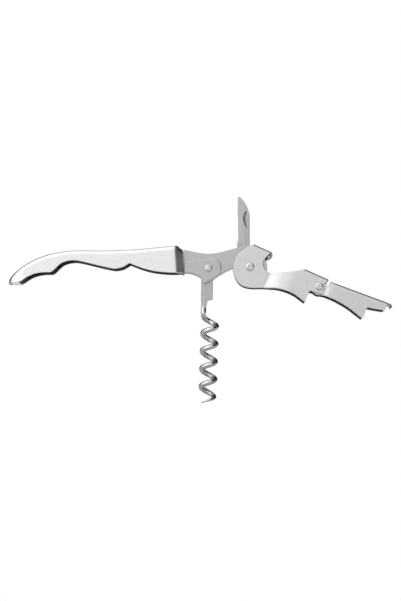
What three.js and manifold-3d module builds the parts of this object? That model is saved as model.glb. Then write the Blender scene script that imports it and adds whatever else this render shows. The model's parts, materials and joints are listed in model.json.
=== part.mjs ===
// Waiters corkscrew with a two-step lever, all stainless steel.
// Millimetres, +Z up. The handle runs to -X and the lever to +X, and y = 0 is the middle plane.
// It is drawn with the worm pivot at [0, 0] in (x, z). At the end everything moves together, so
// that the origin is the middle of the bottom of the bounding box.
import * as THREE from 'three';
import { mergeVertices } from 'three/addons/utils/BufferGeometryUtils.js';
import Module from 'manifold-3d';

const wasm = await Module();
wasm.setup();

const DEG = Math.PI / 180;

// Pivots, as [x, z].
const WORM_PIVOT = [0, 0];
const LEVER_PIVOT = [19.3, 0.6];
const BLADE_PIVOT = [17.0, 6.7];
const HINGE_PIVOT = [51.3, -8.9];

// The two lever steps point down to the right by these angles.
const UPPER_TILT = 24.4;
const LOWER_TILT = 20.6;

// Stack of the frame across y, as half widths from the middle plane.
const FRAME_GAP = 1.4;
const FRAME_FACE = 2.6;
const BOLSTER_FACE = 3.5;
const HEAD_INNER = 2.95;
const HEAD_OUTER = 3.95;

// Handle shell.
const HANDLE_WALL = 0.9;
const HANDLE_BEND = 2.2;
const MOUTH_HALF = 3.75;

// Lever sheets.
const UPPER_WALL = 1.0;
const UPPER_HALF = 6.25;
const LOWER_WALL = 0.9;
const LOWER_HALF = 5.6;
const LUG_HALF = 4.95;

// Worm.
const WIRE_RADIUS = 1.25;
const HELIX_RADIUS = 3.1;
const HELIX_PITCH = 8.2;
const HELIX_TURNS = 4.96;
const HELIX_TOP = -19.65;
const HELIX_AXIS_TOP = [1.37, 0];
const HELIX_LEAN = 1.8;
const COIL_SKEW = 0.115;
const TANG_HALF = 1.0;
const TANG_ROOT = 0.8;

// Blade.
const BLADE_HALF = 0.6;
const EDGE_X = 13.65;
const SPINE_X = 19.3;
const SCALLOP_PITCH = 1.05;
const SCALLOP_DEPTH = 0.28;

// Rivets: shank radius, and the play of a running hole round it.
const WORM_SHANK = 1.2;
const LEVER_SHANK = 1.4;
const HINGE_SHANK = 1.2;
const PIN_SHANK = 0.9;
const PLAY = 0.05;
const ROUND = 24;

const STEEL = {
  handle: { color: 0xe6e6e4, roughness: 0.28, metalness: 1 },
  frame: { color: 0xbdbdbb, roughness: 0.45, metalness: 1 },
  lever: { color: 0xd6d6d3, roughness: 0.34, metalness: 1 },
  blade: { color: 0xb2b2b0, roughness: 0.4, metalness: 1 },
  worm: { color: 0xd0d0ce, roughness: 0.2, metalness: 1 },
  rivet: { color: 0xc8c8c6, roughness: 0.22, metalness: 1 },
  washer: { color: 0xaaaaa8, roughness: 0.35, metalness: 1 },
};

// ---- solids ----

function toSolid(geometry) {
  const bare = geometry.clone();
  bare.deleteAttribute('normal');
  bare.deleteAttribute('uv');
  const merged = mergeVertices(bare, 1e-5);
  const corners = merged.index.array;
  const kept = [];
  for (let i = 0; i < corners.length; i += 3) {
    const [a, b, c] = [corners[i], corners[i + 1], corners[i + 2]];
    if (a !== b && b !== c && c !== a) kept.push(a, b, c);
  }
  return new wasm.Manifold(new wasm.Mesh({
    numProp: 3,
    vertProperties: new Float32Array(merged.attributes.position.array),
    triVerts: new Uint32Array(kept),
  }));
}

function toGeometry(solid) {
  const mesh = solid.getMesh();
  const geometry = new THREE.BufferGeometry();
  geometry.setAttribute('position', new THREE.BufferAttribute(mesh.vertProperties, 3));
  geometry.setIndex(new THREE.BufferAttribute(mesh.triVerts, 1));
  return geometry;
}

// A shape drawn in (x, z), given the thickness between y0 and y1.
function plate(shape, y0, y1, steps = 8) {
  const geometry = new THREE.ExtrudeGeometry(shape, {
    depth: y1 - y0,
    bevelEnabled: false,
    curveSegments: steps,
  });
  geometry.rotateX(Math.PI / 2);
  geometry.translate(0, y1, 0);
  return toSolid(geometry);
}

// A round solid about an axis along y, from a profile of [radius, y].
function turned(profile, at = [0, 0], segments = ROUND) {
  const points = profile.map(([r, y]) => new THREE.Vector2(r, y));
  const geometry = new THREE.LatheGeometry(points, segments);
  geometry.translate(at[0], 0, at[1]);
  const solid = toSolid(geometry);
  return solid.volume() > 0 ? solid : toSolid(flipped(geometry));
}

function flipped(geometry) {
  const copy = geometry.clone();
  const corners = copy.index.array;
  for (let i = 0; i < corners.length; i += 3) {
    [corners[i + 1], corners[i + 2]] = [corners[i + 2], corners[i + 1]];
  }
  return copy;
}

function bore(at, radius, half = 20) {
  return turned([[0, -half], [radius, -half], [radius, half], [0, half]], at);
}

function block(x0, x1, y0, y1, z0, z1) {
  const geometry = new THREE.BoxGeometry(x1 - x0, y1 - y0, z1 - z0);
  geometry.translate((x0 + x1) / 2, (y0 + y1) / 2, (z0 + z1) / 2);
  return toSolid(geometry);
}

// A closed skin through rings of equal point count.
function loft(rings) {
  const n = rings[0].length;
  const positions = rings.flat(2);
  const first = rings.length * n;
  for (const ring of [rings[0], rings[rings.length - 1]]) {
    for (const k of [0, 1, 2]) {
      positions.push(ring.reduce((sum, p) => sum + p[k], 0) / n);
    }
  }
  const corners = [];
  for (let i = 0; i + 1 < rings.length; i += 1) {
    for (let j = 0; j < n; j += 1) {
      const a = i * n + j;
      const b = i * n + (j + 1) % n;
      corners.push(a, b, b + n, a, b + n, a + n);
    }
  }
  const last = (rings.length - 1) * n;
  for (let j = 0; j < n; j += 1) {
    const k = (j + 1) % n;
    corners.push(first, k, j);
    corners.push(first + 1, last + j, last + k);
  }
  const geometry = new THREE.BufferGeometry();
  geometry.setAttribute('position', new THREE.Float32BufferAttribute(positions, 3));
  geometry.setIndex(corners);
  const solid = toSolid(geometry);
  return solid.volume() > 0 ? solid : toSolid(flipped(geometry));
}

// One cross-section of a folded sheet: flat top, two bends, open below.
// lean tips the section plane so that it follows a slanted edge.
function channelRing({ x, half, top, bend, lean = 0 }, floor) {
  const ring = [[x + lean * floor, -half, floor]];
  for (const side of [-1, 1]) {
    for (let i = 0; i <= 4; i += 1) {
      const turn = (side < 0 ? i : 4 - i) * 22.5 * DEG;
      const y = side * (half - bend + bend * Math.cos(turn));
      const z = top - bend + bend * Math.sin(turn);
      ring.push([x + lean * z, y, z]);
    }
  }
  ring.push([x + lean * floor, half, floor]);
  return ring;
}

function channel(sections, floor) {
  return loft(sections.map((section) => channelRing(section, floor)));
}

// The same sections moved in by the sheet thickness, measured square to the surface.
function inset(sections, wall) {
  return sections.map((section, i) => {
    const before = sections[Math.max(i - 1, 0)];
    const after = sections[Math.min(i + 1, sections.length - 1)];
    const run = after.x - before.x;
    const sideSlope = (after.half - before.half) / run;
    const topSlope = (after.top - before.top) / run;
    const half = Math.max(section.half - wall * Math.hypot(1, sideSlope), 0.4);
    const bend = Math.min(Math.max(section.bend - wall, 0.3), half * 0.8);
    return { ...section, half, top: section.top - wall * Math.hypot(1, topSlope), bend };
  });
}

// ---- outlines ----

function points(list) {
  return list.map(([x, z]) => new THREE.Vector2(x, z));
}

// Smooth value at x of a curve given by a few [x, value] pairs in rising x.
function along(list, x) {
  const i = Math.min(Math.max(list.findIndex((p) => p[0] > x) - 1, 0), list.length - 2);
  const last = x >= list[list.length - 1][0] ? list.length - 2 : i;
  const [p0, p1, p2, p3] = [-1, 0, 1, 2].map((k) => {
    return list[Math.min(Math.max(last + k, 0), list.length - 1)];
  });
  const slope = (a, b) => (b[0] === a[0] ? 0 : (b[1] - a[1]) / (b[0] - a[0]));
  const span = p2[0] - p1[0];
  const t = Math.min(Math.max((x - p1[0]) / span, 0), 1);
  const m1 = slope(p0, p2) * span;
  const m2 = slope(p1, p3) * span;
  const t2 = t * t;
  const t3 = t2 * t;
  return (2 * t3 - 3 * t2 + 1) * p1[1] + (t3 - 2 * t2 + t) * m1
    + (3 * t2 - 2 * t3) * p2[1] + (t3 - t2) * m2;
}

// Adds an arc to a shape, as the given number of straight pieces.
function arcOn(shape, [cx, cz], radius, from, to, pieces) {
  for (let i = 0; i <= pieces; i += 1) {
    const a = (from + (to - from) * (i / pieces)) * DEG;
    shape.lineTo(cx + radius * Math.cos(a), cz + radius * Math.sin(a));
  }
}

// ---- handle shell ----

const HANDLE_TOP = [
  [-93.1, -5.8], [-92.4, -4.4], [-91.2, -3.1], [-89.8, -1.9], [-87.5, -0.1], [-82.9, 2.9],
  [-78.3, 5.1], [-73.6, 6.7], [-69.0, 7.6], [-64.3, 8.2], [-50.3, 8.3], [-41.0, 8.5],
  [-31.6, 9.0], [-22.3, 9.9], [-16.0, 10.4], [-14.2, 10.6], [-13.5, 10.5], [-12.8, 9.7],
  [-12.2, 9.2], [-11.3, 9.0],
];
const HANDLE_NOSE = [
  [-93.1, 1.6], [-92.7, 3.1], [-91.7, 4.7], [-90.0, 5.9], [-87.6, 6.7], [-84.8, 7.0],
];
const HANDLE_NECK = [
  [-15.9, 6.06], [-15.3, 6.0], [-14.7, 5.8], [-14.1, 5.48], [-12.7, 4.6], [-11.3, MOUTH_HALF],
];
const HANDLE_STATIONS = [
  -93.1, -92.7, -92, -91, -89.6, -87.6, -84.8, -82, -78.6, -75, -71, -67, -62.5, -50, -41,
  -34, -27, -21, -15.9, -15.3, -14.7, -14.1, -13.5, -12.9, -12.2, -11.4, -10.4,
];
const MOUTH_LEAN = -0.07;
const NOSE_FLOOR = -6.7;

// Rounded in at the nose, straight tapering flanks, then drawn in to the mouth.
function handleHalf(x) {
  const [flankStart, widest] = HANDLE_NOSE[HANDLE_NOSE.length - 1];
  const [flankEnd, narrow] = HANDLE_NECK[0];
  if (x < flankStart) return along(HANDLE_NOSE, x);
  if (x > flankEnd) return along(HANDLE_NECK, Math.min(x, -11.3));
  return widest + (narrow - widest) * (x - flankStart) / (flankEnd - flankStart);
}

function handleSections() {
  return HANDLE_STATIONS.map((x) => {
    const half = handleHalf(x);
    const nearMouth = x > -18;
    return {
      x,
      half,
      top: along(HANDLE_TOP, Math.min(x, -11.3)),
      bend: Math.min(HANDLE_BEND, half * 0.75),
      lean: nearMouth ? MOUTH_LEAN : 0,
    };
  });
}

// The side view below the top: thumb end, finger hollow, lever notch and straight run to the mouth.
function handleSide() {
  const side = new THREE.Shape();
  side.moveTo(-94, 14);
  side.lineTo(-94, -5.8);
  side.lineTo(-93.2, -5.8);
  side.quadraticCurveTo(-93.0, NOSE_FLOOR, -91.4, NOSE_FLOOR);
  side.lineTo(-88.4, NOSE_FLOOR);
  side.splineThru(points([[-86.6, -5.9], [-83.7, -4.0], [-80.9, -2.8], [-77.7, -2.1], [-73.0, -1.9]]));
  side.splineThru(points([[-71.7, -1.0], [-68.5, 2.0], [-65.7, 3.2], [-62.6, 3.6], [-59.2, 3.2],
    [-49.9, 0.95], [-45.3, -0.05], [-43.2, -0.3], [-39.7, 0.4], [-36.5, 2.3]]));
  side.splineThru(points([[-34.6, 1.45], [-30.5, -0.05], [-25.8, -1.3], [-20.3, -2.0], [-15.0, -2.3],
    [-11.2, -2.2]]));
  side.lineTo(-12.0, 9.4);
  side.lineTo(-12.0, 14);
  return side;
}

// The nose is closed underneath over its first few millimetres.
function noseFloor() {
  const strip = new THREE.Shape();
  strip.moveTo(-94, NOSE_FLOOR);
  strip.lineTo(-88.4, NOSE_FLOOR);
  strip.lineTo(-87.3, NOSE_FLOOR + 0.5);
  strip.lineTo(-87.9, NOSE_FLOOR + HANDLE_WALL + 0.2);
  strip.lineTo(-91.0, NOSE_FLOOR + HANDLE_WALL);
  strip.lineTo(-94, NOSE_FLOOR + HANDLE_WALL + 1.2);
  return strip;
}

function handleShell() {
  const sections = handleSections();
  const outer = channel(sections, -14);
  const hollow = inset(sections, HANDLE_WALL).slice(2);
  hollow[0].x = -92.1;
  hollow.push({ ...hollow[hollow.length - 1], x: -9 });
  const wall = outer.subtract(channel(hollow, -16));
  const floor = plate(noseFloor(), -9, 9, 4).intersect(outer);
  return wall.add(floor).intersect(plate(handleSide(), -9, 9, 4));
}

// ---- frame ----

const NECK_TOP = [[-8.4, 8.2], [-3.7, 7.3], [1.0, 7.0], [5.6, 7.7], [11.7, 9.3], [17.3, 10.7]];
const NECK_BELOW = [[2.4, -4.6], [-0.9, -6.7], [-2.1, -6.7], [-3.3, -4.6], [-5.5, -3.1],
  [-8.4, -2.1], [-11.0, -1.8]];
const FRAME_EYE = 8.0;
const TAIL_END = -34;
const TAIL_TOP = 7.4;
const TAIL_LOW = 5.0;
const SPACER_RIVETS = [[-30.5, 6.2], [-20.5, 6.2]];

function framePlate(y0, y1) {
  const side = new THREE.Shape();
  side.moveTo(-13.5, TAIL_TOP);
  side.lineTo(-11.8, 7.0);
  side.lineTo(-11.75, 8.1);
  side.lineTo(-11.3, 8.85);
  side.splineThru(points(NECK_TOP));
  side.lineTo(19.4, 10.9);
  side.lineTo(19.75, 8.7);
  arcOn(side, LEVER_PIVOT, FRAME_EYE, 80, -178, 22);
  side.lineTo(8.0, -1.2);
  side.splineThru(points(NECK_BELOW));
  side.lineTo(-15.2, -1.4);
  side.lineTo(-17.6, TAIL_LOW);
  side.lineTo(TAIL_END + 1, TAIL_LOW);
  side.quadraticCurveTo(TAIL_END, TAIL_LOW, TAIL_END, TAIL_LOW + 1.2);
  side.quadraticCurveTo(TAIL_END, TAIL_TOP, TAIL_END + 1, TAIL_TOP);
  let solid = plate(side, y0, y1, 3);
  solid = solid.subtract(bore(WORM_PIVOT, WORM_SHANK + PLAY));
  solid = solid.subtract(bore(LEVER_PIVOT, LEVER_SHANK + PLAY));
  solid = solid.subtract(bore(BLADE_PIVOT, PIN_SHANK + PLAY));
  for (const at of SPACER_RIVETS) solid = solid.subtract(bore(at, PIN_SHANK + PLAY));
  return solid;
}

function bolster(y0, y1) {
  const side = new THREE.Shape();
  side.moveTo(-11.35, 3.3);
  side.lineTo(-0.6, 4.3);
  side.splineThru(points([[1.2, 4.55], [3.2, 4.5], [4.8, 3.6], [5.6, 2.3], [5.75, 1.2]]));
  side.lineTo(5.95, -2.2);
  side.lineTo(2.4, -4.7);
  side.splineThru(points([...NECK_BELOW.slice(1, -1), [-11.0, -1.9]]));
  return plate(side, y0, y1, 3).subtract(bore(WORM_PIVOT, WORM_SHANK + PLAY));
}

function frameSpacer() {
  const half = FRAME_GAP - 0.02;
  let solid = block(TAIL_END + 1, -18.2, -half, half, TAIL_LOW + 0.1, TAIL_TOP - 0.1);
  for (const at of SPACER_RIVETS) solid = solid.subtract(bore(at, PIN_SHANK + PLAY));
  return solid;
}

// ---- rivets and washers ----

// A shank with a domed head on each outer face.
function rivet(at, shank, face, headRadius, headHeight) {
  const dome = [[0.98, 0.25], [0.86, 0.62], [0.55, 0.9], [0, 1]];
  const head = dome.map(([r, h]) => [r * headRadius, face + h * headHeight]);
  const upper = [[shank, face], [headRadius, face], ...head];
  const lower = [...upper].reverse().map(([r, y]) => [r, -y]);
  return turned([...lower, ...upper], at);
}

function pin(at, shank, half) {
  return turned([[0, -half], [shank, -half], [shank, half], [0, half]], at);
}

function washer(at, shank, radius, y0, y1) {
  return turned([[0, y0], [radius, y0], [radius, y1], [0, y1]], at).subtract(bore(at, shank + PLAY));
}

// ---- blade ----

function bladeSide() {
  const side = new THREE.Shape();
  side.moveTo(SPINE_X, 24.6);
  side.lineTo(SPINE_X, 8.0);
  arcOn(side, BLADE_PIVOT, 2.65, 29.4, -180, 12);
  side.lineTo(13.3, 9.6);
  side.lineTo(13.3, 12.1);
  side.lineTo(EDGE_X, 12.6);
  side.lineTo(EDGE_X, 13.4);
  for (let z = 13.4; z < 24.5; z += SCALLOP_PITCH) {
    const deep = EDGE_X + 2 * SCALLOP_DEPTH;
    side.quadraticCurveTo(deep, z + SCALLOP_PITCH / 2, EDGE_X, z + SCALLOP_PITCH);
  }
  side.lineTo(EDGE_X + 0.05, 33.6);
  side.lineTo(EDGE_X + 0.25, 34.0);
  side.splineThru(points([[14.6, 33.8], [15.9, 32.7], [17.8, 29.7], [18.95, 26.5], [SPINE_X, 24.6]]));
  return side;
}

function nailNick() {
  const side = new THREE.Shape();
  side.moveTo(17.85, 27.4);
  side.splineThru(points([[16.8, 26.4], [16.15, 24.8], [16.1, 23.2], [16.8, 20.9], [17.85, 19.2]]));
  return side;
}

// A grinding wedge that thins the blade towards its edge on the side given by sign.
function edgeGrind(sign) {
  const section = new THREE.Shape();
  section.moveTo(EDGE_X - 1, sign * 0.02);
  section.lineTo(EDGE_X + 2.1, sign * BLADE_HALF);
  section.lineTo(EDGE_X + 2.1, sign * (BLADE_HALF + 1));
  section.lineTo(EDGE_X - 1, sign * (BLADE_HALF + 1));
  const geometry = new THREE.ExtrudeGeometry(section, { depth: 40, bevelEnabled: false });
  geometry.translate(0, 0, 12.6);
  return toSolid(geometry);
}

function blade() {
  return plate(bladeSide(), -BLADE_HALF, BLADE_HALF, 3)
    .subtract(edgeGrind(-1))
    .subtract(edgeGrind(1))
    .subtract(plate(nailNick(), -2, -BLADE_HALF + 0.3, 3))
    .subtract(bore(BLADE_PIVOT, PIN_SHANK + PLAY));
}

// ---- worm ----

// Flat tang with a round eye, ending in the shoulder above the wire.
function wormTang() {
  const side = new THREE.Shape();
  side.moveTo(2.65, -0.5);
  arcOn(side, WORM_PIVOT, 2.65, 0, 180, 10);
  side.lineTo(-3.4, -5.5);
  side.lineTo(-3.5, -14.5);
  side.lineTo(-3.45, -17.2);
  side.lineTo(-3.1, -18.2);
  side.lineTo(-1.3, -18.2);
  side.splineThru(points([[-0.9, -16.8], [-0.7, -15.6], [-0.2, -14.8], [0.8, -14.4]]));
  side.lineTo(1.9, -14.35);
  side.lineTo(2.05, -5.6);
  return plate(side, -TANG_HALF, TANG_HALF, 5);
}

// Straight wire that swells out of the tang, bends into the helix and tapers to a point.
function wormWire() {
  const around = 10;
  const bendLength = 4.2;
  const slope = Math.atan2(HELIX_PITCH, 2 * Math.PI * HELIX_RADIUS);
  const stations = [];
  let angle = 0;
  let z = HELIX_TOP;
  stations.push({ angle, z: -13.6, radius: TANG_ROOT });
  stations.push({ angle, z: -16.6, radius: 0.97 });
  stations.push({ angle, z: -18.6, radius: WIRE_RADIUS });
  stations.push({ angle, z, radius: WIRE_RADIUS });
  const bendSteps = 6;
  for (let i = 0; i < bendSteps; i += 1) {
    const beta = Math.PI / 2 + (slope - Math.PI / 2) * ((i + 0.5) / bendSteps);
    const step = bendLength / bendSteps;
    angle += (step * Math.cos(beta)) / HELIX_RADIUS;
    z -= step * Math.sin(beta);
    stations.push({ angle, z, radius: WIRE_RADIUS });
  }
  const sweep = HELIX_TURNS * 2 * Math.PI - angle;
  const steps = 76;
  for (let i = 1; i <= steps; i += 1) {
    const turn = (sweep * i) / steps;
    const left = (sweep - turn) / (1.3 * Math.PI);
    stations.push({
      angle: angle + turn,
      z: z - (HELIX_PITCH * turn) / (2 * Math.PI),
      radius: WIRE_RADIUS * Math.max(Math.min(1, left) ** 0.8, 0.1),
    });
  }
  // The axis leans, so each station slides sideways with its height.
  const [axisX] = HELIX_AXIS_TOP;
  const lean = Math.tan(HELIX_LEAN * DEG);
  const path = stations.map((s) => new THREE.Vector3(
    axisX + lean * s.z - HELIX_RADIUS * Math.cos(s.angle),
    HELIX_RADIUS * Math.sin(s.angle),
    s.z - COIL_SKEW * HELIX_RADIUS * (1 - Math.cos(s.angle)),
  ));
  const rings = path.map((p, i) => {
    const before = path[Math.max(i - 1, 0)];
    const after = path[Math.min(i + 1, path.length - 1)];
    const tangent = after.clone().sub(before).normalize();
    const { angle: at, radius } = stations[i];
    const outward = new THREE.Vector3(-Math.cos(at), Math.sin(at), 0);
    outward.addScaledVector(tangent, -outward.dot(tangent)).normalize();
    const across = tangent.clone().cross(outward);
    return Array.from({ length: around }, (_, k) => {
      const a = ((k + 0.5) * 2 * Math.PI) / around;
      const corner = p.clone();
      corner.addScaledVector(outward, radius * Math.cos(a));
      corner.addScaledVector(across, radius * Math.sin(a));
      return corner.toArray();
    });
  });
  return loft(rings);
}

function worm() {
  return wormTang().add(wormWire()).subtract(bore(WORM_PIVOT, WORM_SHANK + PLAY));
}

// ---- lever, upper step: drawn level about its own rivet, then tilted ----

const UPPER_TOP = 10.5;
const UPPER_WEB = 9.4;
const UPPER_SECTIONS = [
  [-10, HEAD_OUTER], [9.9, HEAD_OUTER], [10.4, 4.08], [12.5, 4.95], [14.4, 5.48], [16.6, 5.83],
  [18.7, 6.07], [20.8, 6.21], [22.9, UPPER_HALF], [38, UPPER_HALF],
];

function upperSide() {
  const side = new THREE.Shape();
  side.moveTo(-2.8, UPPER_TOP);
  side.lineTo(6.5, UPPER_TOP);
  side.splineThru(points([[5.6, 8.8], [4.8, 6.4], [4.7, 4.6], [5.8, 2.7], [7.5, 1.5], [9.6, 1.2],
    [12.0, 2.2], [18.0, 5.6], [22.0, 8.1], [23.8, UPPER_WEB]]));
  side.lineTo(35.2, UPPER_WEB);
  side.quadraticCurveTo(35.8, UPPER_WEB, 35.8, UPPER_WEB - 1.0);
  side.lineTo(34.7, 7.6);
  side.splineThru(points([[35.3, 5.2], [35.8, 1.8]]));
  side.lineTo(29.7, 1.1);
  side.lineTo(29.8, -4.0);
  side.quadraticCurveTo(29.8, -4.8, 28.9, -4.5);
  side.splineThru(points([[24.6, -3.5], [21.9, -3.3], [19.4, -3.4], [17.1, -3.75], [14.8, -4.3],
    [11.0, -5.8], [7.6, -7.3], [4.2, -8.8], [0.8, -9.45], [-2.2, -8.75], [-4.9, -6.6], [-6.9, -3.4],
    [-7.65, 0.8], [-7.1, 3.9], [-5.1, 7.4], [-2.8, UPPER_TOP]]));
  return side;
}

// The bottle opener lip, bent down from the end of the head web.
function openerLip() {
  const side = new THREE.Shape();
  side.moveTo(5.0, UPPER_TOP - UPPER_WALL);
  side.lineTo(5.9, UPPER_TOP - UPPER_WALL);
  side.quadraticCurveTo(6.7, 9.2, 6.3, 8.5);
  side.lineTo(4.9, 6.9);
  side.lineTo(5.5, 6.2);
  side.lineTo(7.2, 8.1);
  side.quadraticCurveTo(7.7, 9.4, 7.0, 10.1);
  side.quadraticCurveTo(6.7, UPPER_TOP, 6.2, UPPER_TOP);
  side.lineTo(5.0, UPPER_TOP);
  return side;
}

function leverUpper() {
  const sections = UPPER_SECTIONS.map(([x, half]) => {
    return { x, half, top: x < 10 ? UPPER_TOP : UPPER_WEB, bend: 1.5 };
  });
  const hollow = inset(sections, UPPER_WALL).map((s, i) => {
    return { ...s, top: sections[i].top - UPPER_WALL };
  });
  const ends = [{ ...hollow[0], x: -12 }, ...hollow, { ...hollow[hollow.length - 1], x: 40 }];
  const sheet = channel(sections, -12).subtract(channel(ends, -14));
  return sheet
    .intersect(plate(upperSide(), -9, 9, 3))
    .add(plate(openerLip(), -2.7, 2.7, 3))
    .subtract(bore([0, 0], LEVER_SHANK + PLAY))
    .subtract(bore(upperLocal(HINGE_PIVOT), HINGE_SHANK + PLAY));
}

function upperLocal([x, z]) {
  const [dx, dz] = [x - LEVER_PIVOT[0], z - LEVER_PIVOT[1]];
  const [c, s] = [Math.cos(UPPER_TILT * DEG), Math.sin(UPPER_TILT * DEG)];
  return [dx * c - dz * s, dx * s + dz * c];
}

// ---- lever, lower step: drawn level about the hinge rivet, then tilted ----

const LOWER_WEB = 4.2;
const LOWER_START = 3.9;
const LUG_RADIUS = 3.75;

function lowerSide() {
  const side = new THREE.Shape();
  side.moveTo(LOWER_START, LOWER_WEB);
  side.lineTo(33.9, LOWER_WEB);
  side.quadraticCurveTo(34.7, LOWER_WEB - 0.1, 34.5, 3.2);
  side.lineTo(32.2, 3.1);
  side.quadraticCurveTo(32.0, 0.4, 31.2, 0.0);
  side.splineThru(points([[30.1, -0.15], [26.8, -0.8], [23.9, -1.25]]));
  side.lineTo(23.7, -6.1);
  side.quadraticCurveTo(23.7, -6.9, 22.8, -6.6);
  side.splineThru(points([[19.7, -5.6], [17.0, -4.7], [14.3, -4.05], [11.7, -3.6], [9.1, -3.2],
    [6.6, -3.05], [3.6, -3.0]]));
  arcOn(side, [0, 0], LUG_RADIUS, -62, -165, 10);
  arcOn(side, [0, 0], 3.05, -190, -325, 10);
  side.lineTo(LOWER_START, 1.6);
  return side;
}

function leverLower() {
  const section = (x, half) => ({ x, half, top: LOWER_WEB, bend: 1.6 });
  const sections = [section(-6, LUG_HALF), section(3.3, LUG_HALF), section(4.2, 5.2),
    section(5.0, 5.35), section(6.0, 5.45), section(8.0, 5.55), section(10.0, LOWER_HALF),
    section(36, LOWER_HALF)];
  const hollow = inset(sections, LOWER_WALL);
  hollow[0].x = -8;
  hollow[hollow.length - 1].x = 40;
  const sheet = channel(sections, -10).subtract(channel(hollow, -12));
  const gap = LUG_HALF - LOWER_WALL;
  return sheet
    .subtract(block(-8, LOWER_START - 0.1, -gap, gap, -12, 8))
    .intersect(plate(lowerSide(), -9, 9, 4))
    .subtract(bore([0, 0], HINGE_SHANK + PLAY));
}

// ---- assembly ----

function placed(solid, pivot, tilt) {
  const geometry = toGeometry(solid);
  geometry.rotateY(tilt * DEG);
  geometry.translate(pivot[0], 0, pivot[1]);
  return geometry;
}

const corkscrew = new THREE.Group();
corkscrew.name = 'waiters_corkscrew';

function addPiece(name, shape, finish) {
  const indexed = shape.isBufferGeometry ? shape : toGeometry(shape);
  const geometry = indexed.toNonIndexed();
  geometry.computeVertexNormals();
  const mesh = new THREE.Mesh(geometry, new THREE.MeshStandardMaterial(STEEL[finish]));
  mesh.name = name;
  corkscrew.add(mesh);
}

addPiece('handle_shell', handleShell(), 'handle');
addPiece('frame_plate_near', framePlate(-FRAME_FACE, -FRAME_GAP), 'frame');
addPiece('frame_plate_far', framePlate(FRAME_GAP, FRAME_FACE), 'frame');
addPiece('frame_spacer', frameSpacer(), 'frame');
addPiece('spacer_rivet_rear', pin(SPACER_RIVETS[0], PIN_SHANK, FRAME_FACE), 'rivet');
addPiece('spacer_rivet_front', pin(SPACER_RIVETS[1], PIN_SHANK, FRAME_FACE), 'rivet');
addPiece('bolster_near', bolster(-BOLSTER_FACE, -FRAME_FACE), 'frame');
addPiece('bolster_far', bolster(FRAME_FACE, BOLSTER_FACE), 'frame');
addPiece('worm', worm(), 'worm');
addPiece('worm_rivet', rivet(WORM_PIVOT, WORM_SHANK, BOLSTER_FACE, 1.75, 0.55), 'rivet');
addPiece('blade', blade(), 'blade');
addPiece('blade_pin', pin(BLADE_PIVOT, PIN_SHANK, FRAME_FACE), 'rivet');
for (const [side, sign] of [['near', -1], ['far', 1]]) {
  const span = (a, b) => (sign < 0 ? [-b, -a] : [a, b]);
  const [b0, b1] = span(BLADE_HALF + 0.02, FRAME_GAP - 0.02);
  addPiece(`blade_spacer_${side}`, washer(BLADE_PIVOT, PIN_SHANK, 2.4, b0, b1), 'washer');
  const [l0, l1] = span(FRAME_FACE + 0.02, HEAD_INNER - 0.02);
  addPiece(`lever_washer_${side}`, washer(LEVER_PIVOT, LEVER_SHANK, 3.4, l0, l1), 'washer');
  const [w0, w1] = span(TANG_HALF + 0.02, FRAME_GAP - 0.02);
  addPiece(`worm_washer_${side}`, washer(WORM_PIVOT, WORM_SHANK, 2.5, w0, w1), 'washer');
  const [h0, h1] = span(LUG_HALF + 0.01, UPPER_HALF - UPPER_WALL - 0.01);
  addPiece(`hinge_washer_${side}`, washer(HINGE_PIVOT, HINGE_SHANK, 2.6, h0, h1), 'washer');
}
addPiece('lever_upper', placed(leverUpper(), LEVER_PIVOT, UPPER_TILT), 'lever');
addPiece('lever_rivet', rivet(LEVER_PIVOT, LEVER_SHANK, HEAD_OUTER, 2.0, 0.6), 'rivet');
addPiece('lever_lower', placed(leverLower(), HINGE_PIVOT, LOWER_TILT), 'lever');
addPiece('hinge_rivet', rivet(HINGE_PIVOT, HINGE_SHANK, UPPER_HALF, 1.9, 0.6), 'rivet');

const extent = new THREE.Box3().setFromObject(corkscrew);
const shiftX = -(extent.min.x + extent.max.x) / 2;
for (const piece of corkscrew.children) piece.geometry.translate(shiftX, 0, -extent.min.z);

export default corkscrew;
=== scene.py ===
"""Looks for the all-steel waiters corkscrew: sheet metal, rivets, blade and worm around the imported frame.

Lengths are millimetres, but the materials, the floor and the lamps are in metres, as Blender has them.
Outlines are drawn side-on, as (x, z) from a pivot that the frame gives.
"""

import json
import math

import bpy
import numpy as np
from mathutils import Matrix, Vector
from mathutils.geometry import delaunay_2d_cdt

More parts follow.
